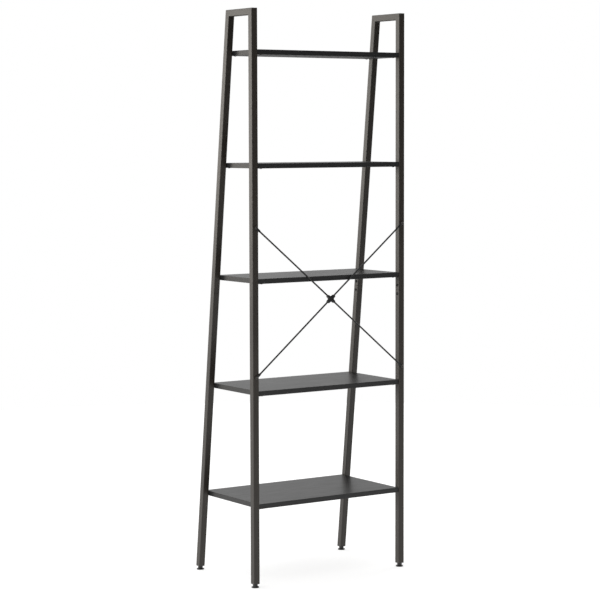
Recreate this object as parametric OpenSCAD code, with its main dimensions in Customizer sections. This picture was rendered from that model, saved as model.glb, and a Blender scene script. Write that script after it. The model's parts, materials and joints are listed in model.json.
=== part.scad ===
// Five-tier ladder shelf: two welded side frames of square tube with vertical rear legs
// and sloping front legs, five boards between them and an X brace across the back.
// +Z is up, the sloping front legs face -Y, and the origin is on the floor at the
// centre of the shelf's outline. Millimetres throughout.

/* [Overall] */
// Width over the two side frames
overall_w = 560; // [480:10:640]
// Height from the floor to the top of the side frames
overall_h = 1730; // [1700:10:1800]
// Depth of a side frame at its top
top_d = 144.5; // [130:0.5:160]
// Depth of a side frame at the bottom of its legs
foot_d = 339; // [300:1:360]

/* [Tube] */
// Outer side of the square tube
tube = 20; // [20:0.5:22]
// Wall thickness of the square tube
wall = 1.2; // [1:0.1:1.4]
// Outer corner radius of the square tube
corner_r = 1.6; // [1.5:0.1:2]
// Height of the joint between the two halves of a rear leg
rear_seam_z = 876; // [860:1:890]
// Height of the joint between the two halves of a front leg
front_seam_z = 877; // [855:1:890]

/* [Boards] */
// Heights of the five board tops, lowest first
shelf_tops = [253, 594, 930, 1273, 1609]; // [200:1:1650]
// Thickness of a board
board_t = 15; // [15:1:18]
// Thickness of the edging strip on all four board edges
band_t = 0.8; // [0.4:0.1:1]
// Distance from the legs' rear face in to a board's rear edge
rear_inset = 3; // [3:0.5:6]
// Distance from the legs' front face in to a board's front edge
front_inset = 2; // [1:0.5:4]
// Clearance between a board's end and the leg beside it
end_gap = 0.5; // [0.3:0.1:1]

/* [Board lugs] */
// Length of a welded lug from the leg under the board
lug_l = 24; // [20:1:28]
// Width of a lug
lug_w = 15; // [12:1:16]
// Thickness of a lug, let in flush with the board's underside
lug_t = 2; // [1.5:0.5:3]

/* [X brace] */
// Height of the upper brace screws
brace_top_z = 1083; // [1060:1:1110]
// Height of the lower brace screws
brace_low_z = 635.5; // [620:0.5:660]
// Diameter of a brace rod
rod_d = 5; // [4:0.5:6]
// Thickness of a rod where it is pressed flat
flat_t = 2; // [1.6:0.1:2.4]
// Width of a rod where it is pressed flat
flat_w = 8; // [6:0.5:9]
// Diameter of the eye at each end of a rod
eye_d = 11; // [10:0.5:12]
// Length of one arm of the hub from its centre
hub_arm = 17; // [15:0.5:20]
// Width of a hub arm
hub_w = 9; // [8.6:0.2:10]
// Thickness of each half of the hub
hub_t = 4.6; // [4.4:0.1:5]

/* [Feet] */
// Gap from the floor to the bottom of the legs
leg_gap = 11.5; // [11:0.5:14]
// Diameter of a foot pad
pad_d = 23.5; // [22:0.5:26]
// Diameter of a foot's neck
neck_d = 15; // [14:0.5:16]
// Diameter of the threaded stud of a foot
stud_d = 6; // [5:0.5:8]
// Depth of the plastic plug inside a leg
plug_l = 23; // [22:1:30]

/* [Hidden] */
$fn = 48;

// Tube geometry
inner = tube - 2 * wall;
frame_x = (overall_w - tube) / 2;
inner_face = overall_w / 2 - tube;
slope = (foot_d - top_d) / (overall_h - leg_gap);
lean = atan(slope);
tube_run = tube / cos(lean);
seam_drop = (overall_h - front_seam_z) / cos(lean);
front_leg_l = (overall_h - leg_gap) / cos(lean) + tube;
// Side of the blocks that trim tube ends, and how far a cut runs past the face it opens
cut = 60;
past = 1;

// Screws, nuts and running clearances
screw_r = 2.45;
tapped_r = 2.5;
clear_r = 2.75;
press_gap = 0.05;
head_r = 4.7;
head_h = 2.6;
socket_r = 1.75;
socket_h = 1.5;
screw_pitch = 13.6;
sleeve_l = 90;
sleeve_gap = 0.2;
sleeve_wall = 1.5;
sleeve_corner_r = 1.2;
sleeve_screw_l = 7;
rivet_r = 3.5;
rivet_flange_r = 5;
rivet_flange_t = 0.8;
rivet_l = 11;
rivet_bulb_r = 4.6;
rivet_bulb_l = 3;
wood_screw_r = 1.9;
wood_screw_l = 11;
wood_head_r = 3.8;
wood_head_h = 2;
tip_gap = 1;
lug_hole_r = 2.25;
pocket_gap = 0.5;
bolt_r = 2;
bolt_hole_r = 2.15;
bolt_head_r = 3.9;
bolt_head_h = 2.2;
nut_r = 4.04;
nut_h = 3.2;
bolt_tip = 1;

// Brace layout, measured from the rear face of the legs
eye_y = rivet_flange_t + flat_t / 2;
rod_end_l = 18;
rod_mid_l = 9;
rod_lap = 1;
brace_rise = (brace_top_z - brace_low_z) / 2;
brace_z = (brace_top_z + brace_low_z) / 2;
brace_half = norm([frame_x, brace_rise]);
brace_angle = atan(brace_rise / frame_x);
channel_gap = 0.1;
hub_disc_r = 8;

// Feet
plug_flange_t = 1;
plug_gap = 0.1;
plug_corner_r = 1;
stud_clear = 0.05;
pad_h = 3.2;
pad_rim = 1.2;
flare_h = 3;
neck_top = leg_gap - 0.5;
stud_low = 4;
stud_tip = 1;
stud_top = leg_gap + plug_l - stud_tip;

// The outline's front and rear limits set where the legs stand along Y
front_foot_in = foot_d - tube_run / 2;
front_reach = max(foot_d, front_foot_in + pad_d / 2);
rear_reach = eye_y + hub_t + bolt_head_h;
back_y = (front_reach - rear_reach) / 2;
rear_leg_y = back_y - tube / 2;
front_foot_y = back_y - front_foot_in;

SIDES = ["left", "right"];
ENDS = ["front", "rear"];

// Front face of the sloping legs at height z
function front_face_y(z) = back_y - top_d - (overall_h - z) * slope;
// Middle of a leg at height z, front or rear
function leg_y(end, z) = end == "rear" ? rear_leg_y : front_face_y(z) + tube_run / 2;
// Shelves carried by the upper and lower halves of the side frames, lowest first
function shelves_of(half) = half == "lower" ? [0, 1] : [2, 3, 4];
// Middle of a levelling foot, front or rear
function foot_y(end) = end == "rear" ? rear_leg_y : front_foot_y;

// ---- Square tube ----

module rounded_square(side, r) {
    square([side - 2 * r, side], center = true);
    square([side, side - 2 * r], center = true);
    for (x = [-1, 1], y = [-1, 1])
        translate([x * (side / 2 - r), y * (side / 2 - r)]) circle(r);
}

module tube_profile(side, r, t) {
    difference() {
        rounded_square(side, r);
        rounded_square(side - 2 * t, r - t / 2);
    }
}

// Half space above a plane through the side frame, tilted about X
module half_space(y, z, tilt, above) {
    translate([0, y, z]) rotate([tilt, 0, 0])
        translate([-cut / 2, -cut, above ? 0 : -cut]) cube([cut, 2 * cut, cut]);
}

module rear_mitre(above) half_space(back_y, overall_h, 45, above);
module front_mitre(above) half_space(back_y - top_d, overall_h, -(90 + lean) / 2, above);

// Places a child in a side frame's own plane; the inner face is towards -X there
module in_frame(side) {
    if (side == "right") translate([frame_x, 0, 0]) children();
    else mirror([1, 0, 0]) translate([frame_x, 0, 0]) children();
}

// Places a child on the sloping leg: its outer face is at Y = 0 and its top at Z = 0
module on_slope() {
    translate([0, back_y - top_d, overall_h]) rotate([-lean, 0, 0]) children();
}

// Hole or shank along X through a leg's inner face
module cross_hole(r, z, y) {
    translate([-tube / 2 - past, y, z]) rotate([0, 90, 0]) cylinder(r = r, h = tube / 2);
}

module cross_holes(r, y, seam_z) {
    for (s = [-1, 1]) cross_hole(r, seam_z + s * screw_pitch, y);
}

module rivet_hole(z) {
    translate([0, back_y + past, z]) rotate([90, 0, 0])
        cylinder(r = rivet_r + press_gap, h = wall + 2 * past);
}

module rear_leg(half) {
    low = half == "upper" ? rear_seam_z : leg_gap + plug_flange_t;
    high = half == "upper" ? overall_h : rear_seam_z;
    color("#4a4540") difference() {
        translate([0, rear_leg_y, low]) linear_extrude(high - low)
            tube_profile(tube, corner_r, wall);
        if (half == "upper") rear_mitre(true);
        cross_holes(clear_r, rear_leg_y, rear_seam_z);
        rivet_hole(half == "upper" ? brace_top_z : brace_low_z);
    }
}

module front_leg(half) {
    low = half == "upper" ? -seam_drop : -front_leg_l;
    high = half == "upper" ? tube : -seam_drop;
    color("#4a4540") difference() {
        on_slope() difference() {
            translate([0, tube / 2, low]) linear_extrude(high - low)
                tube_profile(tube, corner_r, wall);
            cross_holes(clear_r, tube / 2, -seam_drop);
        }
        if (half == "upper") front_mitre(true);
        else translate([-cut, front_foot_y - cut, leg_gap + plug_flange_t - 2 * cut]) cube(2 * cut);
    }
}

module top_bar() {
    color("#4a4540") difference() {
        translate([0, back_y + tube, overall_h - tube / 2]) rotate([90, 0, 0])
            linear_extrude(top_d + 2 * tube) tube_profile(tube, corner_r, wall);
        rear_mitre(false);
        front_mitre(false);
    }
}

// ---- Joint between the halves of a leg ----

module sleeve() {
    difference() {
        translate([0, 0, -sleeve_l / 2]) linear_extrude(sleeve_l)
            tube_profile(inner - 2 * sleeve_gap, sleeve_corner_r, sleeve_wall);
        cross_holes(tapped_r, 0, 0);
    }
}

module leg_sleeve(end) {
    color("#9a9a96")
        if (end == "rear") translate([0, rear_leg_y, rear_seam_z]) sleeve();
        else on_slope() translate([0, tube / 2, -seam_drop]) sleeve();
}

// Button-head screw with its head's seat at Z = 0 and its shank along -Z
module button_screw(r, shank, hr, hh) {
    translate([0, 0, -shank]) cylinder(r = r, h = shank);
    difference() {
        intersection() {
            cylinder(r = hr, h = hh);
            translate([0, 0, hh - (hr * hr + hh * hh) / (2 * hh)])
                sphere((hr * hr + hh * hh) / (2 * hh));
        }
        translate([0, 0, hh - socket_h]) cylinder(r = socket_r, h = socket_h + past, $fn = 6);
    }
}

module sleeve_screw_pair() {
    for (s = [-1, 1])
        translate([-tube / 2, 0, s * screw_pitch]) rotate([0, -90, 0])
            button_screw(screw_r, sleeve_screw_l, head_r, head_h);
}

module sleeve_screws() {
    color("#2c2a28") {
        translate([0, rear_leg_y, rear_seam_z]) sleeve_screw_pair();
        on_slope() translate([0, tube / 2, -seam_drop]) sleeve_screw_pair();
    }
}

// ---- Boards ----

function board_low(i) = shelf_tops[i] - board_t;
function board_back() = back_y - rear_inset;
function board_front(i) = front_face_y(shelf_tops[i]) + front_inset;

module board_block(i, inset, extra) {
    half_w = inner_face - end_gap - inset;
    translate([-half_w, board_front(i) + inset, board_low(i) - extra])
        cube([2 * half_w, board_back() - board_front(i) - 2 * inset, board_t + 2 * extra]);
}

// Repeats a child under the four corners of board i, where the lugs are
module at_lugs(i) {
    for (side = SIDES) in_frame(side) at_frame_lugs(i) children();
}

module at_frame_lugs(i) {
    for (end = ENDS)
        translate([-tube / 2, leg_y(end, board_low(i)), board_low(i)]) children();
}

// Lug outline: square at the leg, round at its free end, and larger by gap for its pocket
module lug_outline(gap) {
    r = lug_w / 2 + gap;
    translate([r - lug_l - gap, 0]) circle(r);
    translate([r - lug_l - gap, -r]) square([lug_l + gap - r, 2 * r]);
}

module lug_pockets(i) {
    at_lugs(i) translate([0, 0, -past]) linear_extrude(lug_t + past) lug_outline(pocket_gap);
}

module board(i) {
    color("#38383a") difference() {
        board_block(i, band_t, 0);
        lug_pockets(i);
        at_lugs(i) translate([lug_w / 2 - lug_l, 0, 0])
            cylinder(r = wood_screw_r + press_gap, h = lug_t + wood_screw_l);
    }
}

module edging(i) {
    color("#2a2a2b") difference() {
        board_block(i, 0, 0);
        board_block(i, band_t, past);
        lug_pockets(i);
    }
}

module lugs(half) {
    color("#4a4540") for (i = shelves_of(half)) at_frame_lugs(i) difference() {
        linear_extrude(lug_t) lug_outline(0);
        translate([lug_w / 2 - lug_l, 0, -past])
            cylinder(r = lug_hole_r, h = lug_t + 2 * past);
    }
}

module board_screws(i) {
    color("#2c2a28") at_lugs(i) translate([lug_w / 2 - lug_l, 0, 0]) rotate([180, 0, 0])
        button_screw(wood_screw_r, lug_t + wood_screw_l - tip_gap, wood_head_r, wood_head_h);
}

// ---- X brace ----

// Places a child at the hub, with X along the rod that rises to the left or to the right
module along_rod(rises) {
    translate([0, back_y + eye_y, brace_z]) rotate([0, rises ? -brace_angle : brace_angle, 0])
        children();
}

// Half of a rod from the hub out to an eye; lift moves its middle off the eye's plane
module half_rod(lift, grow) {
    bend = atan(lift / (brace_half - rod_mid_l - rod_end_l));
    round_l = (brace_half - rod_mid_l - rod_end_l) / cos(bend);
    translate([rod_mid_l, lift, 0]) rotate([0, 0, -bend]) rotate([0, 90, 0])
        translate([0, 0, -rod_lap]) cylinder(r = rod_d / 2 + grow, h = round_l + 2 * rod_lap);
}

// Flat bar pressed from the rod, with a round eye at X = 0
module flat_eye(length, eye, hole, grow) {
    rotate([90, 0, 0]) translate([0, 0, -flat_t / 2 - grow])
        linear_extrude(flat_t + 2 * grow) difference() {
            union() {
                circle(eye / 2 + grow);
                translate([0, -flat_w / 2 - grow]) square([length, flat_w + 2 * grow]);
            }
            circle(hole);
        }
}

module brace_rod(lift, grow) {
    for (s = [0, 180]) {
        rotate([0, s, 0]) {
            half_rod(lift, grow);
            translate([0, lift, 0]) flat_eye(rod_mid_l, eye_d, bolt_hole_r, grow);
            translate([brace_half, 0, 0]) rotate([0, 180, 0])
                flat_eye(rod_end_l, eye_d, clear_r, grow);
        }
    }
}

module brace_rods(rises, grow) {
    along_rod(rises) brace_rod(rises ? flat_t / 2 : -flat_t / 2, grow);
}

module hub_half(outer) {
    color("#1d1d1e") difference() {
        for (rises = [true, false]) along_rod(rises)
            rotate([90, 0, 0]) translate([0, 0, outer ? -hub_t : 0]) linear_extrude(hub_t) {
                circle(hub_disc_r);
                square([2 * hub_arm - hub_w, hub_w], center = true);
                for (s = [-1, 1]) translate([s * (hub_arm - hub_w / 2), 0]) circle(hub_w / 2);
            }
        for (rises = [true, false]) brace_rods(rises, channel_gap);
        translate([0, back_y + eye_y + cut / 2, brace_z]) rotate([90, 0, 0])
            cylinder(r = bolt_hole_r, h = cut);
    }
}

module hub_bolt() {
    color("#3a3a3a") translate([0, back_y + eye_y + hub_t, brace_z]) rotate([-90, 0, 0])
        button_screw(bolt_r, 2 * hub_t + nut_h + bolt_tip, bolt_head_r, bolt_head_h);
}

module hub_nut() {
    color("#3a3a3a") translate([0, back_y + eye_y - hub_t, brace_z]) rotate([90, 0, 0])
        difference() {
            cylinder(r = nut_r, h = nut_h, $fn = 6);
            translate([0, 0, -past]) cylinder(r = bolt_r + press_gap, h = nut_h + 2 * past);
        }
}

// Repeats a child at the four brace screws, with +Z pointing out of the legs' rear face
module at_brace_ends() {
    for (x = [-frame_x, frame_x], z = [brace_low_z, brace_top_z])
        translate([x, back_y, z]) rotate([-90, 0, 0]) children();
}

module end_screws() {
    color("#2c2a28") at_brace_ends() translate([0, 0, rivet_flange_t + flat_t])
        button_screw(screw_r, rivet_l, head_r, head_h);
}

module rivet_nuts() {
    color("#9a9a96") at_brace_ends() difference() {
        union() {
            cylinder(r = rivet_flange_r, h = rivet_flange_t);
            translate([0, 0, -rivet_l]) cylinder(r = rivet_r, h = rivet_l);
            translate([0, 0, -wall - rivet_bulb_l]) cylinder(r = rivet_bulb_r, h = rivet_bulb_l);
        }
        translate([0, 0, -rivet_l - past])
            cylinder(r = tapped_r, h = rivet_l + rivet_flange_t + 2 * past);
    }
}

// ---- Levelling feet ----

module leg_plug(end) {
    y = foot_y(end);
    top = leg_gap + plug_flange_t + plug_l;
    color("#222222") difference() {
        union() {
            plug_slice(end, tube, corner_r, leg_gap, leg_gap + plug_flange_t);
            plug_slice(end, inner - 2 * plug_gap, plug_corner_r, leg_gap, top);
        }
        translate([0, y, 0]) cylinder(r = stud_d / 2 + stud_clear, h = top + past);
    }
}

// Slice of a leg's solid section between two heights
module plug_slice(end, side, r, low, high) {
    intersection() {
        if (end == "rear")
            translate([0, rear_leg_y, 0]) linear_extrude(2 * cut) rounded_square(side, r);
        else
            on_slope() translate([0, tube / 2, -front_leg_l])
                linear_extrude(2 * cut) rounded_square(side, r);
        translate([-cut, foot_y(end) - cut, low]) cube([2 * cut, 2 * cut, high - low]);
    }
}

module foot_pad(end) {
    pad_r = pad_d / 2;
    neck_r = neck_d / 2;
    color("#262525") translate([0, foot_y(end), 0]) rotate_extrude() difference() {
        polygon([
            [0, 0], [pad_r - pad_rim / 2, 0], [pad_r, pad_rim / 2], [pad_r, pad_h - pad_rim],
            [pad_r - pad_rim, pad_h], [neck_r, pad_h + flare_h],
            [neck_r, neck_top], [0, neck_top]
        ]);
        translate([0, stud_low]) square([stud_d / 2, neck_top]);
    }
}

module foot_stud(end) {
    color("#8d8d8a") translate([0, foot_y(end), stud_low]) {
        cylinder(r = stud_d / 2, h = stud_top - stud_low - stud_tip);
        translate([0, 0, stud_top - stud_low - stud_tip])
            cylinder(r1 = stud_d / 2, r2 = stud_d / 2 - stud_tip, h = stud_tip);
    }
}

for (side = SIDES) {
    in_frame(side) rear_leg("upper");
    in_frame(side) rear_leg("lower");
    in_frame(side) front_leg("upper");
    in_frame(side) front_leg("lower");
    in_frame(side) top_bar();
    in_frame(side) lugs("upper");
    in_frame(side) lugs("lower");
    in_frame(side) leg_sleeve("rear");
    in_frame(side) leg_sleeve("front");
    in_frame(side) sleeve_screws();
    for (end = ENDS) {
        in_frame(side) foot_pad(end);
        in_frame(side) foot_stud(end);
        in_frame(side) leg_plug(end);
    }
}
for (i = [0 : len(shelf_tops) - 1]) {
    board(i);
    edging(i);
    board_screws(i);
}
color("#1f1f20") brace_rods(true, 0);  // brace_rod_up_right
color("#1f1f20") brace_rods(false, 0);  // brace_rod_up_left
hub_half(true);  // brace_hub_outer
hub_half(false);  // brace_hub_inner
hub_bolt();  // brace_hub_bolt
hub_nut();  // brace_hub_nut
end_screws();  // brace_end_screws
rivet_nuts();  // brace_rivet_nuts
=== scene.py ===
"""Looks for a five-board ladder shelf.

Powder-coated tube frames, melamine boards, a crossed-rod brace and levelling feet. Everything is in
metres, in the frame's axes: +Z up, the sloping legs face -Y, and the brace is at +Y.
"""
import json
import math

import bmesh
import bpy
from mathutils import Matrix, Vector


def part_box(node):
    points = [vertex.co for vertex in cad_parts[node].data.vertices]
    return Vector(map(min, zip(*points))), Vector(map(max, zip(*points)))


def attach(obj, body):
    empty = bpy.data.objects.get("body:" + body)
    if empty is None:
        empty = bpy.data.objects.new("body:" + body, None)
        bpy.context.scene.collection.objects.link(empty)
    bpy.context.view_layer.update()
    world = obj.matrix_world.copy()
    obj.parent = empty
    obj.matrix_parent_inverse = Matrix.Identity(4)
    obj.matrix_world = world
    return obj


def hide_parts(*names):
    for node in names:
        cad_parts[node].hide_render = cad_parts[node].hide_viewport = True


MM = 0.001

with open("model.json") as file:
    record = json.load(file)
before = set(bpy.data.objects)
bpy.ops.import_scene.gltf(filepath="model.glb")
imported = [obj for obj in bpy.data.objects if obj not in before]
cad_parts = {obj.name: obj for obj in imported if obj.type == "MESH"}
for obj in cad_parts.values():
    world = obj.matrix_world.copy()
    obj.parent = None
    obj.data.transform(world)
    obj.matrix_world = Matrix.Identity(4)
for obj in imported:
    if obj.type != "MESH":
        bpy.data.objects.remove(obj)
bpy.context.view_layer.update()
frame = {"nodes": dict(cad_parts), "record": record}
scene = bpy.context.scene


# ---------------------------------------------------------------- sizes taken from the frame

SIDES = {"left": -1, "right": 1}
ENDS = ("front", "rear")
SHELVES = range(1, 6)

rear_low, rear_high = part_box("right_upper_rear_leg")
front_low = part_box("right_lower_front_leg")[0]

TUBE = rear_high.x - rear_low.x
HEIGHT = rear_high.z
BACK_Y = rear_high.y
FRAME_X = (rear_low.x + rear_high.x) / 2
INNER_X = rear_low.x
TOP_FRONT_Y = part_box("right_top_bar")[0].y
LEG_LOW = front_low.z
LEAN = math.atan((TOP_FRONT_Y - front_low.y) / (HEIGHT - LEG_LOW))
# Depth of a sloping tube's level cut
TUBE_RUN = TUBE / math.cos(LEAN)

UP = Vector((0, 0, 1))
# Directions up the legs
LEG_ALONG = {"rear": UP, "front": Vector((0, math.sin(LEAN), math.cos(LEAN)))}


def centre(node):
    """Middle of a CAD node's box."""
    low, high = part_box(node)
    return (low + high) / 2


def front_face_y(z):
    """Front face of the sloping legs at height z."""
    return TOP_FRONT_Y - (HEIGHT - z) * math.tan(LEAN)


def leg_y(end, z):
    """Middle of a front or rear leg at height z."""
    return BACK_Y - TUBE / 2 if end == "rear" else front_face_y(z) + TUBE_RUN / 2


# ---------------------------------------------------------------- node materials

# A noise's Fac lies nearly always between these two
NOISE_LOW = 0.3
NOISE_HIGH = 0.7


def shader(name, colour, roughness, **sockets):
    """A Principled material; extra keyword names are its sockets with _ for a space."""
    material = bpy.data.materials.new(name)
    material.use_nodes = True
    bsdf = bsdf_of(material)
    bsdf.inputs["Base Color"].default_value = (*colour, 1)
    bsdf.inputs["Roughness"].default_value = roughness
    for socket, value in sockets.items():
        bsdf.inputs[socket.replace("_", " ")].default_value = value
    return material


def bsdf_of(material):
    """A material's Principled node."""
    return material.node_tree.nodes["Principled BSDF"]


def add(owner, kind, values=None, **properties):
    """A node in the tree of a material or world, with its properties and input values set."""
    node = owner.node_tree.nodes.new(kind)
    for name, value in properties.items():
        setattr(node, name, value)
    for socket, value in (values or {}).items():
        node.inputs[socket].default_value = value
    return node


def link(owner, source, output, target, socket):
    """Joins a node's output to another node's input."""
    owner.node_tree.links.new(source.outputs[output], target.inputs[socket])


def coordinates(material, scale=(1, 1, 1)):
    """Object coordinates in metres, times scale."""
    where = add(material, "ShaderNodeTexCoord")
    mapping = add(material, "ShaderNodeMapping", {"Scale": scale})
    link(material, where, "Object", mapping, "Vector")
    return mapping


def noise(material, where, scale, detail=3, rough=0.5):
    """Noise over the coordinates given, with about scale features in one unit of them."""
    node = add(material, "ShaderNodeTexNoise", {"Scale": scale, "Detail": detail, "Roughness": rough})
    link(material, where, "Vector", node, "Vector")
    return node


def tint(material, source, colour, darkest, lightest):
    """Drives Base Color by a noise, from colour times darkest to colour times lightest."""
    ramp = add(material, "ShaderNodeValToRGB")
    stops = zip(ramp.color_ramp.elements, (NOISE_LOW, NOISE_HIGH), (darkest, lightest))
    for stop, position, factor in stops:
        stop.position = position
        stop.color = (*(channel * factor for channel in colour), 1)
    link(material, source, "Fac", ramp, "Fac")
    link(material, ramp, "Color", bsdf_of(material), "Base Color")


def vary_roughness(material, source, roughness, less, more):
    """Drives Roughness by a noise, from roughness - less to roughness + more."""
    ends = {"To Min": roughness - less, "To Max": roughness + more}
    span = add(material, "ShaderNodeMapRange", {"From Min": NOISE_LOW, "From Max": NOISE_HIGH, **ends})
    link(material, source, "Fac", span, "Value")
    link(material, span, "Result", bsdf_of(material), "Roughness")


def relief(material, source, distance, strength, under=None):
    """Bump from a noise, of a height in metres, over an earlier bump if there is one."""
    bump = add(material, "ShaderNodeBump", {"Strength": strength, "Distance": distance})
    link(material, source, "Fac", bump, "Height")
    if under:
        link(material, under, "Normal", bump, "Normal")
    link(material, bump, "Normal", bsdf_of(material), "Normal")
    return bump


def powder_coat(name, colour, roughness, texture=1.0):
    """Baked powder coat: fine orange peel, slow drift in tone and small changes in gloss."""
    material = shader(name, colour, roughness, Specular_IOR_Level=0.42)
    where = coordinates(material)
    drift = noise(material, where, scale=9, detail=2)
    peel = noise(material, where, scale=620, detail=2, rough=0.6)
    speck = noise(material, where, scale=2600, detail=1)
    tint(material, drift, colour, darkest=0.9, lightest=1.12)
    vary_roughness(material, peel, roughness, less=0.05, more=0.06)
    fine = relief(material, speck, 0.012 * MM * texture, strength=0.5)
    relief(material, peel, 0.03 * MM * texture, strength=0.7, under=fine)
    return material


def laminate(name, colour, roughness):
    """Melamine face with a faint pressed wood grain along X, the length of the boards."""
    material = shader(name, colour, roughness, Specular_IOR_Level=0.36)
    grain = noise(material, coordinates(material, (4, 90, 90)), scale=3, detail=6, rough=0.65)
    pores = noise(material, coordinates(material, (40, 700, 700)), scale=1.6, rough=0.6)
    tint(material, grain, colour, darkest=0.8, lightest=1.25)
    vary_roughness(material, grain, roughness, less=0.05, more=0.06)
    low = relief(material, grain, 0.02 * MM, strength=0.5)
    relief(material, pores, 0.03 * MM, strength=0.6, under=low)
    return material


def moulded(name, colour, roughness, grit=1500):
    """Injection-moulded plastic with a spark-eroded grit and slight flow marks."""
    material = shader(name, colour, roughness, Specular_IOR_Level=0.5)
    where = coordinates(material)
    texture = noise(material, where, scale=grit, detail=2, rough=0.6)
    flow = noise(material, where, scale=60, detail=2)
    tint(material, flow, colour, darkest=0.85, lightest=1.2)
    vary_roughness(material, flow, roughness, less=0.04, more=0.05)
    relief(material, texture, 0.02 * MM, strength=0.7)
    return material


def plated(name, colour, roughness):
    """Zinc-plated steel with a cloudy finish and fine marks across Z."""
    material = shader(name, colour, roughness, Metallic=1.0)
    cloud = noise(material, coordinates(material), scale=140, detail=4)
    scratch = noise(material, coordinates(material, (1, 1, 12)), scale=900, detail=2)
    tint(material, cloud, colour, darkest=0.8, lightest=1.0)
    vary_roughness(material, cloud, roughness, less=0.08, more=0.1)
    relief(material, scratch, 0.01 * MM, strength=0.5)
    return material


def blackened(name, colour, roughness):
    """Black-oxide screw steel: dark, faintly brown, with a cloudy sheen."""
    material = shader(name, colour, roughness, Specular_IOR_Level=0.4)
    stain = noise(material, coordinates(material), scale=400, detail=4)
    tint(material, stain, colour, darkest=0.7, lightest=1.4)
    vary_roughness(material, stain, roughness, less=0.06, more=0.12)
    relief(material, stain, 0.008 * MM, strength=0.5)
    return material


# Material slot: its material, from a linear colour and a middle roughness
MATERIALS = {
    "frame_steel": powder_coat("frame_powder_coat", (0.0275, 0.0227, 0.0182), 0.42),
    "board_laminate": laminate("board_melamine", (0.0085, 0.0085, 0.0087), 0.34),
    "board_edging": laminate("board_edging_strip", (0.017, 0.017, 0.0175), 0.45),
    "brace_steel": powder_coat("brace_black_coat", (0.011, 0.011, 0.011), 0.42, texture=0.25),
    "hub_plastic": moulded("hub_moulding", (0.010, 0.010, 0.010), 0.42),
    "screw_black": blackened("screw_black_oxide", (0.011, 0.010, 0.009), 0.48),
    "screw_brown": powder_coat("screw_powder_coat", (0.034, 0.029, 0.024), 0.4),
    "zinc_steel": plated("zinc_plate", (0.55, 0.55, 0.53), 0.36),
    "foot_plastic": moulded("foot_nylon", (0.011, 0.0102, 0.0095), 0.38, grit=1100),
    "plug_plastic": moulded("plug_moulding", (0.012, 0.012, 0.012), 0.5),
}

for part in frame["record"]["subparts"]:
    slots = frame["nodes"][part["node"]].data.materials
    slots.clear()
    slots.append(MATERIALS[part["material_slot"]])


# ---------------------------------------------------------------- making a piece

# Points closer than this are one point
SAME_POINT = 1e-7


def shells(solid):
    """A bmesh's faces in connected groups."""
    left = set(solid.faces)
    found = []
    while left:
        group = []
        queue = [left.pop()]
        while queue:
            face = queue.pop()
            group.append(face)
            for near in (other for edge in face.edges for other in edge.link_faces if other in left):
                left.discard(near)
                queue.append(near)
        found.append(group)
    return found


def signed_volume(faces):
    """Volume inside a closed group of faces, negative if they face inwards."""
    origin = faces[0].verts[0].co.copy()
    total = 0.0
    for face in faces:
        corners = [vert.co - origin for vert in face.verts]
        for b, c in zip(corners[1:], corners[2:]):
            total += corners[0].dot(b.cross(c)) / 6
    return total


def face_outwards(solid):
    """Turns every shell's faces outwards."""
    bmesh.ops.recalc_face_normals(solid, faces=solid.faces)
    for group in shells(solid):
        if signed_volume(group) < 0:
            bmesh.ops.reverse_faces(solid, faces=group)


def piece(name, shape, slot, replaces=(), body="frame", weighted=False, crease=35):
    """Makes a closed mesh piece from (verts, faces), which rides on a body.

    It stands for the CAD nodes that it replaces. Edges that turn by crease degrees or more stay
    sharp, and weighted keeps the shading of large faces flat beside narrow rounded ones.
    """
    verts, faces = shape
    mesh = bpy.data.meshes.new(name)
    mesh.from_pydata([tuple(vert) for vert in verts], [], faces)
    solid = bmesh.new()
    solid.from_mesh(mesh)
    bmesh.ops.remove_doubles(solid, verts=solid.verts, dist=SAME_POINT)
    face_outwards(solid)
    for face in solid.faces:
        face.smooth = True
    for edge in solid.edges:
        edge.smooth = len(edge.link_faces) == 2 and edge.calc_face_angle() < math.radians(crease)
    solid.to_mesh(mesh)
    solid.free()
    mesh.materials.append(MATERIALS[slot])
    made = bpy.data.objects.new(name, mesh)
    scene.collection.objects.link(made)
    if weighted:
        made.modifiers.new("flat_faces", "WEIGHTED_NORMAL").keep_sharp = True
    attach(made, body)
    if replaces:
        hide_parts(*replaces)


# ---------------------------------------------------------------- outlines and shapes

# Points round a screw, nut or other small turned piece
ROUND = 48
# Smallest radius that a turned piece comes to at its axis
AXIS_R = 1e-5


def rings(loops, closed=False):
    """A shape through loops of equal length; the first and last are capped, or joined if closed."""
    count = len(loops[0])
    verts = [Vector(point) for loop in loops for point in loop]
    faces = []
    bands = len(loops) if closed else len(loops) - 1
    for i in range(bands):
        a = i * count
        b = (i + 1) % len(loops) * count
        for j in range(count):
            k = (j + 1) % count
            faces.append((a + j, a + k, b + k, b + j))
    if not closed:
        faces.append(tuple(range(count)))
        faces.append(tuple(reversed(range((len(loops) - 1) * count, len(loops) * count))))
    return verts, faces


def merged(shapes):
    """Several shapes as one."""
    verts = []
    faces = []
    for more_verts, more_faces in shapes:
        start = len(verts)
        verts += more_verts
        faces += [tuple(start + i for i in face) for face in more_faces]
    return verts, faces


def moved(shape, matrix):
    """A shape placed by a matrix."""
    verts, faces = shape
    return [matrix @ vert for vert in verts], faces


def circle(radius, count):
    """Points (x, y) of a circle."""
    return [(radius * math.cos(a), radius * math.sin(a))
            for a in (math.tau * i / count for i in range(count))]


def circle_ring(radius, z, count=ROUND):
    """A level circle at height z."""
    return [Vector((x, y, z)) for x, y in circle(radius, count)]


def hexagon_ring(apothem, z, count=ROUND):
    """A level hexagon with as many points as a circle, so that the two can be joined."""
    found = []
    for i in range(count):
        a = math.tau * i / count
        radius = apothem / math.cos((a + math.pi / 6) % (math.pi / 3) - math.pi / 6)
        found.append(Vector((radius * math.cos(a), radius * math.sin(a), z)))
    return found


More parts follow.
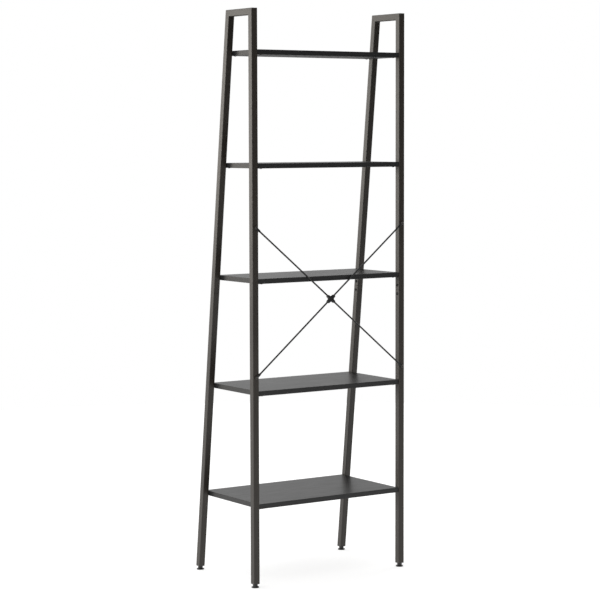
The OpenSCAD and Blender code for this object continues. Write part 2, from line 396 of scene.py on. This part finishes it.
def rounded_square(side, radius, steps=6):
    """Points (x, y) of a square with rounded corners, counter-clockwise."""
    inset = side / 2 - radius
    found = []
    for quarter, (sx, sy) in enumerate(((1, 1), (-1, 1), (-1, -1), (1, -1))):
        for i in range(steps + 1):
            a = math.radians(90 * quarter + 90 * i / steps)
            found.append((sx * inset + radius * math.cos(a), sy * inset + radius * math.sin(a)))
    return found


def arc(x, z, radius, start, stop, steps=5):
    """Points of an arc round (x, z), its angles in degrees."""
    return [(x + radius * math.cos(math.radians(a)), z + radius * math.sin(math.radians(a)))
            for a in (start + (stop - start) * i / steps for i in range(steps + 1))]


def lathe(profile, count=ROUND, closed=False):
    """Turns (radius, height) points about Z; the ends are capped, or joined if closed."""
    return rings([circle_ring(max(radius, AXIS_R), z, count) for radius, z in profile], closed)


# ---------------------------------------------------------------- tube frames

WALL = 1.2 * MM
CORNER_R = 1.6 * MM
SEAM_CHAMFER = 0.35 * MM

# Tilt of the front mitre's normal from +Z, halfway between the leg and the bar
MITRE_TILT = (math.pi / 2 + LEAN) / 2
# The planes of the mitres at the top corners: a point and a normal
FRONT_MITRE = ((0, TOP_FRONT_Y, HEIGHT), (0, math.sin(MITRE_TILT), math.cos(MITRE_TILT)))
REAR_MITRE = ((0, BACK_Y, HEIGHT), (0, -1, 1))


class Tube:
    """The line of a straight square tube that has two faces square to X."""

    def __init__(self, origin, along):
        self.origin = Vector(origin)
        self.along = Vector(along).normalized()
        self.across = Vector((1, 0, 0))
        self.depth = self.along.cross(self.across)

    def ring(self, side, radius, plane_point, plane_normal, shift=0.0):
        """The outline where the tube meets a plane, shifted along the tube."""
        normal = Vector(plane_normal)
        found = []
        for x, y in rounded_square(side, radius):
            start = self.origin + self.across * x + self.depth * y
            reach = (Vector(plane_point) - start).dot(normal) / self.along.dot(normal)
            found.append(start + self.along * (reach + shift))
        return found


def tube_shape(tube, low_plane, high_plane, chamfer_low=0.0, chamfer_high=0.0):
    """Hollow tube between two planes; a chamfer marks an end that butts against another tube."""
    bore = TUBE - 2 * WALL
    bore_r = CORNER_R - WALL / 2
    loops = []
    if chamfer_low:
        loops.append(tube.ring(TUBE - 2 * chamfer_low, CORNER_R - chamfer_low, *low_plane))
    loops.append(tube.ring(TUBE, CORNER_R, *low_plane, shift=chamfer_low))
    loops.append(tube.ring(TUBE, CORNER_R, *high_plane, shift=-chamfer_high))
    if chamfer_high:
        loops.append(tube.ring(TUBE - 2 * chamfer_high, CORNER_R - chamfer_high, *high_plane))
    loops.append(tube.ring(bore, bore_r, *high_plane))
    loops.append(tube.ring(bore, bore_r, *low_plane))
    return rings(loops, closed=True)


def frame_tubes(side, sign):
    """The five tubes of one side frame."""
    x = sign * FRAME_X
    rear_seam = centre(f"{side}_rear_sleeve")
    front_seam = centre(f"{side}_front_sleeve")
    foot_cut = ((0, 0, LEG_LOW), UP)
    rear_cut = (rear_seam, UP)
    front_cut = (front_seam, LEG_ALONG["front"])
    rear = Tube((x, BACK_Y - TUBE / 2, 0), UP)
    front = Tube(front_seam, LEG_ALONG["front"])
    bar = Tube((x, 0, HEIGHT - TUBE / 2), (0, 1, 0))
    tubes = {
        "upper_rear_leg": tube_shape(rear, rear_cut, REAR_MITRE, chamfer_low=SEAM_CHAMFER),
        "lower_rear_leg": tube_shape(rear, foot_cut, rear_cut, chamfer_high=SEAM_CHAMFER),
        "upper_front_leg": tube_shape(front, front_cut, FRONT_MITRE, chamfer_low=SEAM_CHAMFER),
        "lower_front_leg": tube_shape(front, foot_cut, front_cut, chamfer_high=SEAM_CHAMFER),
        "top_bar": tube_shape(bar, FRONT_MITRE, REAR_MITRE),
    }
    for name, shape in tubes.items():
        node = f"{side}_{name}"
        piece(f"{node}_tube", shape, "frame_steel", [node], weighted=True)


# ---------------------------------------------------------------- welds

BEAD_STEP = 0.7 * MM
BEAD_LEAST_STEPS = 8
# A ripple's height as a share of the bead's size, and its length in steps
RIPPLE = 0.12
RIPPLE_STEPS = 3.0
# The size of a bead's tips as a share of its full size, and how fast it grows from them
BEAD_TIP = 0.35
BEAD_TAPER = 3
# How far a bead's root lies inside the corner
BEAD_SINK = 0.3 * MM
# A bead's outside, in shares of its size along the two faces
BEAD_SECTION = ((1, 0), (0.86, 0.3), (0.56, 0.56), (0.3, 0.86), (0, 1))

CORNER_BEAD = 2.2 * MM
CORNER_BEAD_HALF = TUBE / 2 - 2 * MM
LUG_BEAD = 1.1 * MM
LUG_BEAD_HALF = 5.5 * MM


def bead(name, start, end, out_a, out_b, size):
    """A weld bead: a rippled fillet between two faces, out_a and out_b pointing along them."""
    start, end, out_a, out_b = (Vector(value) for value in (start, end, out_a, out_b))
    steps = max(BEAD_LEAST_STEPS, int((end - start).length / BEAD_STEP))
    sink = (out_a + out_b) * -BEAD_SINK
    loops = []
    for i in range(steps + 1):
        at = start.lerp(end, i / steps)
        ripple = 1 + RIPPLE * math.sin(math.tau * i / RIPPLE_STEPS)
        taper = min(1.0, BEAD_TIP + BEAD_TAPER * min(i, steps - i) / steps)
        reach = size * ripple * taper
        outside = [at + out_a * (reach * u) + out_b * (reach * v) for u, v in BEAD_SECTION]
        outside[0] += sink / 2
        outside[-1] += sink / 2
        loops.append([at + sink] + outside)
    piece(name, rings(loops), "frame_steel", crease=60)


def corner_welds(side, sign):
    """Fillet welds in the two inner corners under the top bar."""
    x = sign * FRAME_X
    z = HEIGHT - TUBE
    faces = {
        "rear": (BACK_Y - TUBE, (0, -1, 0), (0, 0, -1)),
        "front": (front_face_y(z) + TUBE_RUN, (0, 1, 0), -LEG_ALONG["front"]),
    }
    for end, (y, along_bar, down_leg) in faces.items():
        bead(f"{side}_{end}_corner_weld", (x - CORNER_BEAD_HALF, y, z), (x + CORNER_BEAD_HALF, y, z),
             along_bar, down_leg, CORNER_BEAD)


def lug_welds(side, sign):
    """A short weld under each lug, where it meets the leg."""
    for number in SHELVES:
        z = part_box(f"shelf_{number}_edging")[0].z
        for end in ENDS:
            x = sign * INNER_X
            y = leg_y(end, z)
            bead(f"{side}_{end}_lug_weld_{number}", (x, y - LUG_BEAD_HALF, z), (x, y + LUG_BEAD_HALF, z),
                 (-sign, 0, 0), (0, 0, -1), LUG_BEAD)


# ---------------------------------------------------------------- boards

EDGE_ROUND = 0.6 * MM


def edging(number):
    """The glued strips round a board, as one mitred ring with rounded outer arrises."""
    low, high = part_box(f"shelf_{number}_edging")
    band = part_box(f"shelf_{number}_board")[0].x - low.x
    bottom = arc(EDGE_ROUND, low.z + EDGE_ROUND, EDGE_ROUND, 270, 180, steps=4)
    top = arc(EDGE_ROUND, high.z - EDGE_ROUND, EDGE_ROUND, 180, 90, steps=4)
    section = [(0, low.z)] + [(band - x, z) for x, z in bottom + top] + [(0, high.z)]
    corners = [(low.x, low.y), (high.x, low.y), (high.x, high.y), (low.x, high.y)]
    inward = [(1, 1), (-1, 1), (-1, -1), (1, -1)]
    loops = [[Vector((x + sx * (band - out), y + sy * (band - out), z)) for out, z in section]
             for (x, y), (sx, sy) in zip(corners, inward)]
    piece(f"shelf_{number}_edge_strip", rings(loops, closed=True), "board_edging",
          [f"shelf_{number}_edging"], weighted=True)


# ---------------------------------------------------------------- screws

SLEEVE_SCREW = {"head_r": 4.7 * MM, "head_h": 2.6 * MM, "shank_r": 2.45 * MM, "shank_l": 7 * MM}
BOARD_SCREW = {"head_r": 3.8 * MM, "head_h": 2 * MM, "shank_r": 1.9 * MM, "shank_l": 12 * MM}
BRACE_SCREW = {"head_r": 4.7 * MM, "head_h": 2.6 * MM, "shank_r": 2.45 * MM, "shank_l": 11 * MM}
# Distance of a sleeve screw from the leg's seam, and of a board screw from the leg's inner face.
# Each screw stops at a turn of its own, which its spin gives in radians.
SLEEVE_SCREW_STEP = 13.6 * MM
BOARD_SCREW_IN = 16.5 * MM

HEAD_RIM = 0.35 * MM
DOME_RINGS = 8
# The first dome ring's distance from the rim, in steps between rings
DOME_START = 0.6
SOCKET_APOTHEM = 1.75 * MM
SOCKET_DEPTH = 1.5 * MM
# The dome ends at this share of the socket's apothem, and falls to the hexagon through a lip
SOCKET_LIP_SHARE = 1.32
SOCKET_LIP = 0.25 * MM
# The drill point under the socket
DRILL_R = 0.3 * MM
DRILL_DEPTH = 0.4 * MM
# The chamfer at the shank's tip
TIP_SHARE = 0.8
TIP_CHAMFER = 0.6 * MM


def button_head(head_r, head_h, shank_r, shank_l):
    """Dome-headed hex-socket screw: seat at Z = 0, head towards +Z, shank towards -Z."""
    dome_r = (head_r * head_r + head_h * head_h) / (2 * head_h)
    dome_z = head_h - dome_r
    loops = [circle_ring(shank_r * TIP_SHARE, -shank_l), circle_ring(shank_r, -shank_l + TIP_CHAMFER),
             circle_ring(shank_r, 0), circle_ring(head_r - HEAD_RIM, 0), circle_ring(head_r, HEAD_RIM)]
    top_r = SOCKET_APOTHEM * SOCKET_LIP_SHARE
    for i in range(DOME_RINGS):
        r = head_r + (top_r - head_r) * (i + DOME_START) / (DOME_RINGS - 1 + DOME_START)
        loops.append(circle_ring(r, dome_z + math.sqrt(dome_r * dome_r - r * r)))
    lip_z = loops[-1][0].z
    floor_z = head_h - SOCKET_DEPTH
    loops.append(hexagon_ring(SOCKET_APOTHEM, lip_z - SOCKET_LIP))
    loops.append(hexagon_ring(SOCKET_APOTHEM, floor_z))
    loops.append(circle_ring(DRILL_R, floor_z - DRILL_DEPTH))
    return rings(loops)


def facing(point, direction, spin=0.0):
    """A matrix that puts a screw's seat at point, its head towards direction, turned by spin."""
    turn = Vector(direction).to_track_quat("Z", "Y").to_matrix().to_4x4()
    return Matrix.Translation(Vector(point)) @ turn @ Matrix.Rotation(spin, 4, "Z")


def sleeve_screws(side, sign):
    """Two screws through a leg's inner face into the sleeve, on each leg of one side."""
    found = []
    for end in ("rear", "front"):
        seam = centre(f"{side}_{end}_sleeve")
        for i, step in enumerate((-1, 1)):
            at = seam + LEG_ALONG[end] * (step * SLEEVE_SCREW_STEP)
            at.x = sign * INNER_X
            spin = 0.4 + 0.9 * i
            found.append(moved(button_head(**SLEEVE_SCREW), facing(at, (-sign, 0, 0), spin)))
    piece(f"{side}_sleeve_screw_set", merged(found), "screw_black", [f"{side}_sleeve_screws"])


def board_screws(number):
    """Four screws from below, through the lugs into a board."""
    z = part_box(f"shelf_{number}_edging")[0].z
    found = []
    for sign in SIDES.values():
        for i, end in enumerate(ENDS):
            at = (sign * (INNER_X - BOARD_SCREW_IN), leg_y(end, z), z)
            spin = 0.7 * i + sign
            found.append(moved(button_head(**BOARD_SCREW), facing(at, (0, 0, -1), spin)))
    piece(f"shelf_{number}_screw_set", merged(found), "screw_black", [f"shelf_{number}_screws"])


# ---------------------------------------------------------------- brace rods

nuts_low, nuts_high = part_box("brace_rivet_nuts")
HUB_INNER_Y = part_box("brace_hub_inner")[0].y
HUB_OUTER_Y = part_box("brace_hub_outer")[1].y
HUB = (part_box("brace_hub_inner")[0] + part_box("brace_hub_outer")[1]) / 2

FLANGE_R = 5 * MM
FLANGE_T = nuts_high.y - BACK_Y
BRACE_TOP = nuts_high.z - FLANGE_R
BRACE_LOW = nuts_low.z + FLANGE_R
BRACE_RISE = (BRACE_TOP - BRACE_LOW) / 2
BRACE_HALF = math.hypot(FRAME_X, BRACE_RISE)
BRACE_ANGLE = math.atan2(BRACE_RISE, FRAME_X)

ROD_R = 2.5 * MM
EYE_R = 5.5 * MM
FLAT_T = 2 * MM
FLAT_W = 8 * MM
# Where the flat stops and where the rod is round, from an eye and from the hub
EYE_TO_ROUND = (14.5 * MM, 20 * MM)
HUB_TO_ROUND = (8 * MM, 15 * MM)
# Distance from an eye over which a rod isn't bent
ROD_END_L = 18 * MM
# Half width of the last section, at an eye's tip
EYE_TIP = 0.15 * MM
# Powers of the superellipse that is the rod's section
ROUND_POWER = 2
FLAT_POWER = 5
# Millimetres from an eye, then from the hub, at which the rod has a section
EYE_STATIONS = (1, 2, 3, 3.8, 4.4, 5, 6, 8, 11, 14, 15, 16, 17, 18, 19, 20, 40, 80)
HUB_STATIONS = (60, 15, 13, 11, 9, 8, 4)


def smooth_step(x, start, stop):
    """0 up to start, 1 from stop, and a smooth rise between them."""
    t = min(1.0, max(0.0, (x - start) / (stop - start)))
    return t * t * (3 - 2 * t)


def rod_section(from_eye, from_hub):
    """Half width, half thickness and power of a rod's section; from_eye is negative past the eye."""
    flat = 1 - min(smooth_step(from_eye, *EYE_TO_ROUND), smooth_step(from_hub, *HUB_TO_ROUND))
    width = ROD_R + (FLAT_W / 2 - ROD_R) * flat
    if from_eye < EYE_R:
        eye = math.sqrt(max(EYE_R ** 2 - from_eye ** 2, 0.0))
        width = max(eye, width if from_eye > 0 else EYE_TIP)
    thickness = ROD_R + (FLAT_T / 2 - ROD_R) * flat
    return width, thickness, ROUND_POWER + (FLAT_POWER - ROUND_POWER) * flat


def section_points(width, height, power, count=28):
    """A superellipse: round at power 2, nearly a rectangle at 5."""
    found = []
    for i in range(count):
        c = math.cos(math.tau * i / count)
        s = math.sin(math.tau * i / count)
        found.append((width * math.copysign(abs(c) ** (2 / power), c),
                      height * math.copysign(abs(s) ** (2 / power), s)))
    return found


def brace_rod(node, sign, lift):
    """One rod from corner to corner: flat eyes at its ends, flat and bent by lift at the hub."""
    along = Vector((math.cos(BRACE_ANGLE), 0, sign * math.sin(BRACE_ANGLE)))
    side = Vector((-along.z, 0, along.x))
    back = Vector((0, 1, 0))
    tip = [-EYE_R * math.cos(math.radians(a)) for a in range(0, 91, 10)]
    from_eye = tip + [x * MM for x in EYE_STATIONS]
    half = [BRACE_HALF - x for x in from_eye] + [x * MM for x in HUB_STATIONS]
    stations = [-x for x in half] + [0.0] + half[::-1]
    loops = []
    for x in stations:
        from_hub = abs(x)
        bend = lift * (1 - min(1.0, from_hub / (BRACE_HALF - ROD_END_L)))
        at = HUB + along * x + back * bend
        section = section_points(*rod_section(BRACE_HALF - from_hub, from_hub))
        loops.append([at + side * u + back * v for u, v in section])
    piece(f"{node}_bar", rings(loops), "brace_steel", [node], crease=50)


# ---------------------------------------------------------------- brace hub and ends

HUB_ARM = 17 * MM
HUB_W = 9 * MM
HUB_DISC = 8 * MM
# How sharply the arms and the disc meet: higher is sharper
HUB_SHARPNESS = 900.0
HUB_POINTS = 144
HUB_HALVINGS = 30
# A radius that is outside the outline all round
HUB_SEARCH_R = 1.3 * HUB_ARM
HUB_RIM = 1.3 * MM
# The groove along the parting line: how far in it is, and where its wall starts and stops to slope
PARTING_IN = 0.25 * MM
PARTING_LOW = 0.3 * MM
PARTING_HIGH = 0.45 * MM
HUB_SEAT_R = 4.6 * MM
HUB_SEAT_BEVEL = 0.4 * MM
HUB_SEAT_IN = 0.5 * MM

# What the bolt's shank has beyond the hub's thickness, to go through the nut
BOLT_EXTRA = 4 * MM
HUB_BOLT = {"head_r": 3.9 * MM, "head_h": 2.2 * MM, "shank_r": 2 * MM,
            "shank_l": HUB_OUTER_Y - HUB_INNER_Y + BOLT_EXTRA}
NUT_BORE_R = 2.1 * MM
NUT_APOTHEM = 3.5 * MM
NUT_H = 3.2 * MM
# Chamfer of the nut's hexagon: how far in and how far along
NUT_CHAMFER_IN = 0.3 * MM
NUT_CHAMFER = 0.25 * MM

RIVET_BORE_R = 2.5 * MM
RIVET_R = 3.5 * MM
RIVET_L = 11 * MM
# The bulge behind the tube's wall: its radius, and where it starts, is full and starts to shrink
RIVET_BULGE_R = 4.6 * MM
RIVET_BULGE_START = -4.2 * MM
RIVET_BULGE_LOW = -3.2 * MM
RIVET_BULGE_HIGH = -2 * MM
# The bevel round the flange: how far in, and its start as a share of the flange's thickness
FLANGE_BEVEL = 0.3 * MM
FLANGE_BEVEL_START = 0.6


def hub_distance(x, z):
    """Signed distance to the hub's outline: two round-ended arms and a disc, blended."""
    found = [math.hypot(x, z) - HUB_DISC]
    reach = HUB_ARM - HUB_W / 2
    for sign in (-1, 1):
        c = math.cos(BRACE_ANGLE)
        s = sign * math.sin(BRACE_ANGLE)
        along = x * c + z * s
        across = z * c - x * s
        along -= max(-reach, min(reach, along))
        found.append(math.hypot(along, across) - HUB_W / 2)
    low = min(found)
    total = sum(math.exp((low - distance) * HUB_SHARPNESS) for distance in found)
    return low - math.log(total) / HUB_SHARPNESS


def hub_outline(inset):
    """Points (x, z) of the hub's outline about its centre, moved in by inset."""
    found = []
    for c, s in circle(1, HUB_POINTS):
        low = 0.0
        high = HUB_SEARCH_R
        for _ in range(HUB_HALVINGS):
            middle = (low + high) / 2
            if hub_distance(middle * c, middle * s) < -inset:
                low = middle
            else:
                high = middle
        found.append((low * c, low * s))
    return found


def hub_half(node, out, face_y):
    """One moulded half of the hub: grooved parting line, rounded rim and a sunk seat."""
    thick = abs(face_y - HUB.y)
    steps = [(PARTING_IN, 0.0), (PARTING_IN, PARTING_LOW), (0.0, PARTING_HIGH), (0.0, thick - HUB_RIM)]
    for a in (math.radians(18 * i) for i in range(1, 6)):
        steps.append((HUB_RIM * (1 - math.cos(a)), thick - HUB_RIM + HUB_RIM * math.sin(a)))
    levels = [(hub_outline(inset), y) for inset, y in steps]
    levels.append((circle(HUB_SEAT_R + HUB_SEAT_BEVEL, HUB_POINTS), thick))
    levels.append((circle(HUB_SEAT_R, HUB_POINTS), thick - HUB_SEAT_IN))
    loops = [[Vector((HUB.x + x, HUB.y + out * y, HUB.z + z)) for x, z in outline]
             for outline, y in levels]
    piece(f"{node}_moulding", rings(loops), "hub_plastic", [node], crease=40)


def hub_fixing():
    """The hub's bolt, and its nut on the inner side."""
    bolt_at = (HUB.x, HUB_OUTER_Y - HUB_SEAT_IN, HUB.z)
    bolt = moved(button_head(**HUB_BOLT), facing(bolt_at, (0, 1, 0), 0.3))
    piece("brace_hub_bolt_screw", bolt, "screw_black", ["brace_hub_bolt"])
    edge = NUT_APOTHEM - NUT_CHAMFER_IN
    nut = rings([circle_ring(NUT_BORE_R, 0), hexagon_ring(edge, 0),
                 hexagon_ring(NUT_APOTHEM, NUT_CHAMFER), hexagon_ring(NUT_APOTHEM, NUT_H - NUT_CHAMFER),
                 hexagon_ring(edge, NUT_H), circle_ring(NUT_BORE_R, NUT_H)], closed=True)
    nut_at = (HUB.x, HUB_INNER_Y + HUB_SEAT_IN, HUB.z)
    piece("brace_hub_hex_nut", moved(nut, facing(nut_at, (0, -1, 0), 0.2)), "screw_black",
          ["brace_hub_nut"])


def rivet_nut():
    """A blind rivet nut, set: flange towards +Z, its underside at Z = 0."""
    body = [(RIVET_BORE_R, -RIVET_L), (RIVET_R, -RIVET_L)]
    bulge = [(RIVET_R, RIVET_BULGE_START), (RIVET_BULGE_R, RIVET_BULGE_LOW),
             (RIVET_BULGE_R, RIVET_BULGE_HIGH), (RIVET_R, -WALL), (RIVET_R, 0)]
    flange = [(FLANGE_R, 0), (FLANGE_R, FLANGE_T * FLANGE_BEVEL_START),
              (FLANGE_R - FLANGE_BEVEL, FLANGE_T), (RIVET_BORE_R, FLANGE_T)]
    return lathe(body + bulge + flange, closed=True)


def brace_ends():
    """A rivet nut in each rear leg at each rod's eye, and the screw that holds the eye."""
    screws = []
    nuts = []
    ends = [(x, z) for x in (-FRAME_X, FRAME_X) for z in (BRACE_LOW, BRACE_TOP)]
    for i, (x, z) in enumerate(ends):
        seat = (x, BACK_Y + FLANGE_T + FLAT_T, z)
        screws.append(moved(button_head(**BRACE_SCREW), facing(seat, (0, 1, 0), 0.5 * i)))
        nuts.append(moved(rivet_nut(), facing((x, BACK_Y, z), (0, 1, 0))))
    piece("brace_end_screw_set", merged(screws), "screw_brown", ["brace_end_screws"])
    piece("brace_rivet_nut_set", merged(nuts), "zinc_steel", ["brace_rivet_nuts"])


# ---------------------------------------------------------------- levelling feet

# The sole's hollow: its depth, and where its edge starts and stops as shares of the pad's radius
SOLE_HOLLOW = 0.35 * MM
SOLE_SHARES = (0.72, 0.78)
# The pad's rims: their radius, and the height of the upper one's centre
PAD_ROUND = 1.1 * MM
PAD_RIM_Z = 2.1 * MM
# The flare from pad to neck: the height of its lip and of the curve above it, the curve's radius,
# and the share of that radius that it uses across
FLARE_LIP_Z = 3.5 * MM
FLARE_Z = 3.6 * MM
FLARE_R = 2.6 * MM
FLARE_SHARE = 0.9
NECK_R = 7.5 * MM
NECK_LOW = 6.6 * MM
NECK_ROUND = 0.5 * MM
# The socket round the stud: radius, and depth below the top of the neck
STUD_SOCKET = ((3.9 * MM, 0.0), (3.4 * MM, 0.5 * MM), (3.1 * MM, 1.5 * MM))
PAD_POINTS = 64

THREAD_PITCH = 1.0 * MM
THREAD_DEPTH = 0.55 * MM
THREAD_POINTS = 32
RINGS_PER_TURN = 8
# The root's and the flanks' shares of half a pitch
THREAD_ROOT = 0.12
THREAD_FLANK = 0.72
# Length of the stud's chamfered tip, and its end as a share of the stud's radius
STUD_TIP = 1.2 * MM
STUD_TIP_SHARE = 0.25

PLUG_BORE_R = 3.05 * MM
# How far the flange's lower edge and the body's upper edge are chamfered
PLUG_FLANGE_CHAMFER = 0.4 * MM
PLUG_BODY_CHAMFER = 0.6 * MM
PLUG_BODY = TUBE - 2 * WALL - 0.2 * MM
PLUG_BODY_R = 1 * MM


def foot_pad(side, end):
    """Turned nylon foot: rounded pad, flare, neck and a socket round the stud."""
    node = f"{side}_{end}_foot_pad"
    low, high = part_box(node)
    top = high.z
    pad_r = (high.x - low.x) / 2
    profile = [(0.0, SOLE_HOLLOW), (pad_r * SOLE_SHARES[0], SOLE_HOLLOW), (pad_r * SOLE_SHARES[1], 0.0)]
    profile += arc(pad_r - PAD_ROUND, PAD_ROUND, PAD_ROUND, -90, 0)
    profile += arc(pad_r - PAD_ROUND, PAD_RIM_Z, PAD_ROUND, 0, 80)
    profile += [(NECK_R + FLARE_R, FLARE_LIP_Z)]
    for a in (math.radians(15 * i) for i in range(1, 7)):
        out = FLARE_R * FLARE_SHARE * (1 - math.sin(a))
        profile += [(NECK_R + out, FLARE_Z + FLARE_R * (1 - math.cos(a)))]
    profile += [(NECK_R, NECK_LOW)]
    profile += arc(NECK_R - NECK_ROUND, top - NECK_ROUND, NECK_ROUND, 0, 90, steps=4)
    profile += [(radius, top - depth) for radius, depth in STUD_SOCKET]
    place = Matrix.Translation(((low.x + high.x) / 2, (low.y + high.y) / 2, 0))
    piece(f"{node}_turned", moved(lathe(profile, PAD_POINTS), place), "foot_plastic", [node],
          body=f"{side}_{end}_foot", crease=48)


def threaded_stud(side, end):
    """A stud with a real helical thread and a chamfered tip."""
    node = f"{side}_{end}_foot_stud"
    low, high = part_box(node)
    middle = centre(node)
    length = high.z - low.z
    major = (high.x - low.x) / 2
    count = int(length / THREAD_PITCH * RINGS_PER_TURN)
    loops = []
    for k in range(count + 1):
        z = length * k / count
        tip_r = major * min(1.0, (length - z) / STUD_TIP + STUD_TIP_SHARE)
        loop = []
        for i in range(THREAD_POINTS):
            phase = (z / THREAD_PITCH - i / THREAD_POINTS) % 1.0
            crest = (1 - abs(2 * phase - 1) - THREAD_ROOT) / THREAD_FLANK
            r = min(major - THREAD_DEPTH * (1 - min(1.0, max(0.0, crest))), tip_r)
            a = math.tau * i / THREAD_POINTS
            loop.append(Vector((middle.x + r * math.cos(a), middle.y + r * math.sin(a), low.z + z)))
        loops.append(loop)
    piece(f"{node}_thread", rings(loops), "zinc_steel", [node], body=f"{side}_{end}_foot", crease=30)


def leg_plug(side, end):
    """Plastic insert in a leg's end: a thin flange with a chamfered rim, and a bored body."""
    node = f"{side}_{end}_leg_plug"
    low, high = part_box(node)
    foot = centre(f"{side}_{end}_foot_pad")
    tube = Tube((foot.x, leg_y(end, low.z), low.z), LEG_ALONG[end])

    def level(width, radius, z):
        """The plug's square outline at height z."""
        return tube.ring(width, radius, (0, 0, z), UP)

    def bore(z):
        """The bore at height z, its points in the directions of a rounded square's points."""
        angles = [math.atan2(y, x) for x, y in rounded_square(2.0, 0.1)]
        return [Vector((foot.x + PLUG_BORE_R * math.cos(a), foot.y + PLUG_BORE_R * math.sin(a), z))
                for a in angles]

    loops = [bore(low.z),
             level(TUBE - 2 * PLUG_FLANGE_CHAMFER, CORNER_R, low.z),
             level(TUBE, CORNER_R, low.z + PLUG_FLANGE_CHAMFER),
             level(TUBE, CORNER_R, LEG_LOW),
             level(PLUG_BODY, PLUG_BODY_R, LEG_LOW),
             level(PLUG_BODY, PLUG_BODY_R, high.z - PLUG_BODY_CHAMFER),
             level(PLUG_BODY - 2 * PLUG_BODY_CHAMFER, PLUG_BODY_R, high.z),
             bore(high.z)]
    piece(f"{node}_insert", rings(loops, closed=True), "plug_plastic", [node])


# ---------------------------------------------------------------- build

for side_name, side_sign in SIDES.items():
    frame_tubes(side_name, side_sign)
    corner_welds(side_name, side_sign)
    lug_welds(side_name, side_sign)
    sleeve_screws(side_name, side_sign)
    for end_name in ENDS:
        foot_pad(side_name, end_name)
        threaded_stud(side_name, end_name)
        leg_plug(side_name, end_name)
for shelf_number in SHELVES:
    edging(shelf_number)
    board_screws(shelf_number)
brace_rod("brace_rod_up_right", 1, FLAT_T / 2)
brace_rod("brace_rod_up_left", -1, -FLAT_T / 2)
hub_half("brace_hub_outer", 1, HUB_OUTER_Y)
hub_half("brace_hub_inner", -1, HUB_INNER_Y)
hub_fixing()
brace_ends()


# ---------------------------------------------------------------- floor, light and camera

FLOOR_R = 4.0
FLOOR_POINTS = 128

# The direction that the world's light is brightest from
BRIGHT_SIDE = (0.72, -0.45, 0.52)

CAMERA_PLACE = (3.5374, 5.2635, 1.3547)
CAMERA_LENS = 122.67
CAMERA_YAW = 0.5917
CAMERA_PITCH = -0.0802
CAMERA_ROLL = -0.0029


def studio_floor():
    """A pale disc that glows a little, so that it is as white as the world behind it."""
    mesh = bpy.data.meshes.new("studio_floor")
    rim = circle_ring(FLOOR_R, 0, FLOOR_POINTS)
    mesh.from_pydata([tuple(point) for point in rim], [], [tuple(range(FLOOR_POINTS))])
    mesh.materials.append(shader("studio_floor", (0.55, 0.55, 0.55), 0.9, Specular_IOR_Level=0.1,
                                 Emission_Color=(1, 1, 1, 1), Emission_Strength=0.62))
    floor = bpy.data.objects.new("studio_floor", mesh)
    scene.collection.objects.link(floor)


def smooth_range(owner, start, stop, low, high):
    """A Map Range node that goes smoothly from low at start to high at stop."""
    return add(owner, "ShaderNodeMapRange",
               {"From Min": start, "From Max": stop, "To Min": low, "To Max": high},
               interpolation_type="SMOOTHSTEP")


def studio_world():
    """White to the camera; as a light, bright from BRIGHT_SIDE and dim below the horizon."""
    world = bpy.data.worlds.new("studio")
    world.use_nodes = True
    world.node_tree.nodes.clear()
    scene.world = world

    where = add(world, "ShaderNodeTexCoord")
    towards = add(world, "ShaderNodeVectorMath", {1: BRIGHT_SIDE}, operation="DOT_PRODUCT")
    by_side = smooth_range(world, start=-0.70, stop=0.80, low=0.09, high=1.25)
    split = add(world, "ShaderNodeSeparateXYZ")
    by_height = smooth_range(world, start=-0.20, stop=0.06, low=0.22, high=1.0)
    strength = add(world, "ShaderNodeMath", operation="MULTIPLY")
    link(world, where, "Generated", towards, 0)
    link(world, where, "Generated", split, 0)
    link(world, towards, "Value", by_side, "Value")
    link(world, split, "Z", by_height, "Value")
    link(world, by_side, "Result", strength, 0)
    link(world, by_height, "Result", strength, 1)

    white = {"Color": (1, 1, 1, 1), "Strength": 1.0}
    lit = add(world, "ShaderNodeBackground", white)
    seen = add(world, "ShaderNodeBackground", white)
    path = add(world, "ShaderNodeLightPath")
    mix = add(world, "ShaderNodeMixShader")
    out = add(world, "ShaderNodeOutputWorld")
    link(world, strength, 0, lit, "Strength")
    link(world, path, "Is Camera Ray", mix, 0)
    link(world, lit, 0, mix, 1)
    link(world, seen, 0, mix, 2)
    link(world, mix, 0, out, 0)


def softbox(name, place, aim, size, power, colour):
    """A rectangular area light at place, aimed at a point; size is its width and height."""
    data = bpy.data.lights.new(name, "AREA")
    data.shape = "RECTANGLE"
    data.size, data.size_y = size
    data.energy = power
    data.color = colour
    lamp = bpy.data.objects.new(name, data)
    lamp.location = place
    lamp.rotation_euler = (Vector(aim) - Vector(place)).to_track_quat("-Z", "Y").to_euler()
    scene.collection.objects.link(lamp)


def make_camera():
    """Stands behind the shelf and to its right, above its middle, and looks slightly down."""
    data = bpy.data.cameras.new("camera")
    data.sensor_width = 36
    data.lens = CAMERA_LENS
    data.clip_end = 200
    camera = bpy.data.objects.new("camera", data)
    camera.location = CAMERA_PLACE
    ahead = Vector((-math.sin(CAMERA_YAW) * math.cos(CAMERA_PITCH),
                    -math.cos(CAMERA_YAW) * math.cos(CAMERA_PITCH), math.sin(CAMERA_PITCH)))
    roll = Matrix.Rotation(CAMERA_ROLL, 3, "Z").to_quaternion()
    camera.rotation_mode = "QUATERNION"
    camera.rotation_quaternion = ahead.to_track_quat("-Z", "Y") @ roll
    scene.collection.objects.link(camera)
    scene.camera = camera


studio_floor()
studio_world()
softbox("key_softbox", place=(6.2, -8.0, 1.6), aim=(0, 0, 1.3), size=(3.6, 1.4), power=200,
        colour=(1.0, 0.94, 0.85))
softbox("fill_softbox", place=(-4.2, -0.8, 1.6), aim=(0, 0, 1.1), size=(2.0, 2.6), power=60,
        colour=(1.0, 0.98, 0.95))
scene.view_settings.view_transform = "Standard"
scene.view_settings.look = "None"
make_camera()
